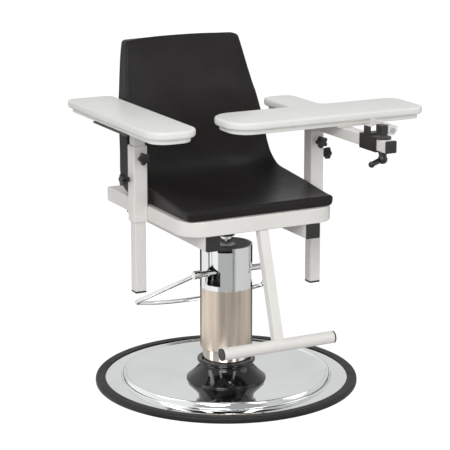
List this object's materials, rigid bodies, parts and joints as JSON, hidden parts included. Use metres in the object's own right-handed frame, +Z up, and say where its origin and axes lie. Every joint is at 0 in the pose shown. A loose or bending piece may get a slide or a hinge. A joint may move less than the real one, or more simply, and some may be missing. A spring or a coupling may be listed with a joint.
{
  "type": "phlebotomy chair",
  "caption": "Blood-draw chair: black moulded seat on a foot-pumped swivel column with a round base, height-adjustable arm boards, a flip-up front board and a footrest bar.",
  "frame": {"origin": "centre of the round base on the floor", "axes": "+Z up along the lift column; the sitter faces -Y; +X is the sitter's left"},
  "size_m": [0.8039, 0.755, 0.881],
  "materials": {
    "rubber_black": "satin black rubber",
    "chrome": "polished chrome plate",
    "cast_iron": "cast and painted",
    "gloss_black": "gloss black enamel",
    "pump_steel": "machined steel",
    "warm_steel": "brushed stainless steel",
    "bronze": "sintered bronze",
    "white_steel": "warm white powder coat",
    "black_steel": "satin black powder coat",
    "black_plastic": "matte black",
    "white_plastic": "natural nylon",
    "board_plastic": "satin off-white",
    "seat_skin": "satin black moulded skin",
    "zinc": "zinc plated"
  },
  "bodies": {
    "base": {"bumper_ring": "rubber_black", "base_dish": "chrome", "base_weight": "cast_iron", "base_bell": "gloss_black", "pump_flange": "pump_steel", "base_bolts": "zinc", "lower_collar": "chrome", "column_sleeve": "warm_steel", "pump_shroud": "chrome", "shroud_cap": "black_steel", "pump_cylinder": "pump_steel", "cylinder_gland": "pump_steel", "pump_head": "pump_steel", "axle_bushes": "bronze"},
    "pedal": {"pedal_axle": "chrome", "pedal_loop": "chrome", "pump_rocker": "pump_steel"},
    "plunger": {"pump_plunger": "pump_steel"},
    "ram": {"ram_rod": "chrome", "ram_piston": "pump_steel"},
    "seat": {"seat_hub": "black_steel", "hub_bolts": "zinc", "mount_plate": "white_steel", "left_rail": "white_steel", "right_rail": "white_steel", "rail_caps": "black_plastic", "seat_frame": "white_steel", "seat_shell": "seat_skin", "seat_screws": "zinc", "footrest_post": "white_steel", "footrest_bar": "white_steel", "footrest_caps": "black_plastic", "left_sleeve": "white_steel", "right_sleeve": "white_steel", "sleeve_glides": "white_plastic"},
    "left_arm": {"left_post": "white_steel", "left_post_cap": "black_plastic", "left_board_plate": "black_steel", "left_board": "board_plastic", "left_board_screws": "zinc"},
    "right_arm": {"right_post": "white_steel", "right_post_cap": "black_plastic", "forward_tube": "white_steel", "forward_tube_caps": "black_plastic"},
    "clamp": {"flip_clamp": "black_steel", "hinge_pin": "zinc"},
    "flip": {"flip_carrier": "white_steel", "flip_board": "board_plastic", "flip_board_screws": "zinc"},
    "lever": {"clamp_lever": "black_plastic", "lever_screw": "zinc"},
    "left_front_turn": {"left_front_knob": "black_plastic", "left_front_screw": "zinc"},
    "left_side_turn": {"left_side_knob": "black_plastic", "left_side_screw": "zinc"},
    "right_front_turn": {"right_front_knob": "black_plastic", "right_front_screw": "zinc"},
    "right_side_turn": {"right_side_knob": "black_plastic", "right_side_screw": "zinc"}
  },
  "joints": [
    {"name": "pedal_press", "type": "hinge", "parent": "base", "child": "pedal", "pos_m": [0, -0.034, 0.306], "axis": [-1, 0, 0], "range_deg": [0, 20], "stiffness_Nm_per_rad": 6, "springref_deg": -17.19},
    {"name": "plunger_stroke", "type": "slide", "parent": "base", "child": "plunger", "axis": [0, 0, -1], "range_m": [0, 0.0125]},
    {"name": "seat_lift", "type": "slide", "parent": "base", "child": "ram", "axis": [0, 0, 1], "range_m": [0, 0.14]},
    {"name": "seat_swivel", "type": "hinge", "parent": "ram", "child": "seat", "pos_m": [0, 0, 0.4], "axis": [0, 0, 1], "continuous": true},
    {"name": "left_arm_height", "type": "slide", "parent": "seat", "child": "left_arm", "axis": [0, 0, 1], "range_m": [-0.015, 0.11]},
    {"name": "right_arm_height", "type": "slide", "parent": "seat", "child": "right_arm", "axis": [0, 0, 1], "range_m": [-0.004, 0.11]},
    {"name": "clamp_slide", "type": "slide", "parent": "right_arm", "child": "clamp", "axis": [0, -1, 0], "range_m": [-0.03, 0.014]},
    {"name": "board_flip", "type": "hinge", "parent": "clamp", "child": "flip", "pos_m": [0.282, -0.32, 0.7], "axis": [0, 1, 0], "range_deg": [0, 90]},
    {"name": "clamp_lever_turn", "type": "hinge", "parent": "clamp", "child": "lever", "pos_m": [0.234, -0.374, 0.64], "axis": [0, 0, 1], "range_deg": [-90, 30]},
    {"name": "left_front_knob_turn", "type": "hinge", "parent": "seat", "child": "left_front_turn", "pos_m": [-0.234, 0, 0.616], "axis": [0, -1, 0], "continuous": true},
    {"name": "left_side_knob_turn", "type": "hinge", "parent": "seat", "child": "left_side_turn", "pos_m": [-0.267, 0.033, 0.559], "axis": [-1, 0, 0], "continuous": true},
    {"name": "right_front_knob_turn", "type": "hinge", "parent": "seat", "child": "right_front_turn", "pos_m": [0.234, -0.075, 0.629], "axis": [0, -1, 0], "continuous": true},
    {"name": "right_side_knob_turn", "type": "hinge", "parent": "seat", "child": "right_side_turn", "pos_m": [0.267, -0.042, 0.59], "axis": [1, 0, 0], "continuous": true}
  ],
  "couplings": [
    {"joint": "plunger_stroke", "follows": "pedal_press", "m_per_rad": 0.0343}
  ]
}
